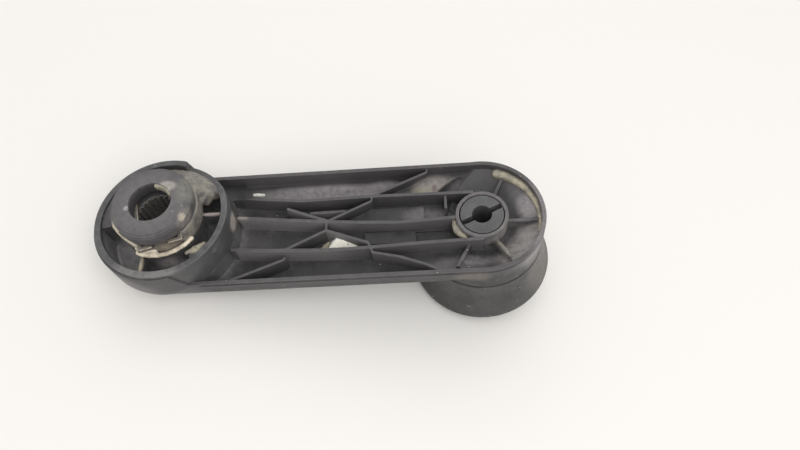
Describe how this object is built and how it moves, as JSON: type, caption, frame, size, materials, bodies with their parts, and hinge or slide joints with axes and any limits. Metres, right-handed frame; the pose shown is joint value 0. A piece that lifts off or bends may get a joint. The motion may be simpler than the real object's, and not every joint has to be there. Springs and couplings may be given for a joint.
{
  "type": "window winder crank",
  "caption": "Hand crank for a vehicle window: a ribbed moulded arm with a splined socket, a sliding retaining clip and a free-turning flared knob.",
  "frame": {"origin": "centre of the socket's mouth, on the hub axis in the plane of the boss face", "axes": "+Z out of the socket along the hub axis, +X from the hub axis towards the knob axis"},
  "size_m": [0.1305, 0.042, 0.0431],
  "materials": {
    "arm_plastic": "worn moulded plastic, dusty in its corners",
    "collar_plastic": "scuffed grey-black plastic",
    "bush_steel": "dark greased steel",
    "clip_steel": "greased spring steel",
    "spindle_plastic": "satin acetal",
    "washer_plastic": "natural acetal",
    "knob_plastic": "fine-grained moulded plastic",
    "cap_plastic": "satin moulded plastic"
  },
  "bodies": {
    "crank": {"arm": "arm_plastic", "hub_collar": "collar_plastic", "splined_bush": "bush_steel"},
    "clip": {"retaining_clip": "clip_steel"},
    "knob": {"knob_spindle": "spindle_plastic", "thrust_washer": "washer_plastic", "knob_shell": "knob_plastic", "knob_cap": "cap_plastic"}
  },
  "joints": [
    {"name": "knob_spin", "type": "hinge", "parent": "crank", "child": "knob", "pos_m": [0.09, 0, -0.03], "axis": [0, 0, 1], "continuous": true},
    {"name": "clip_release", "type": "slide", "parent": "crank", "child": "clip", "axis": [-0.2588, 0.9659, 0], "range_m": [0, 0.01]}
  ]
}
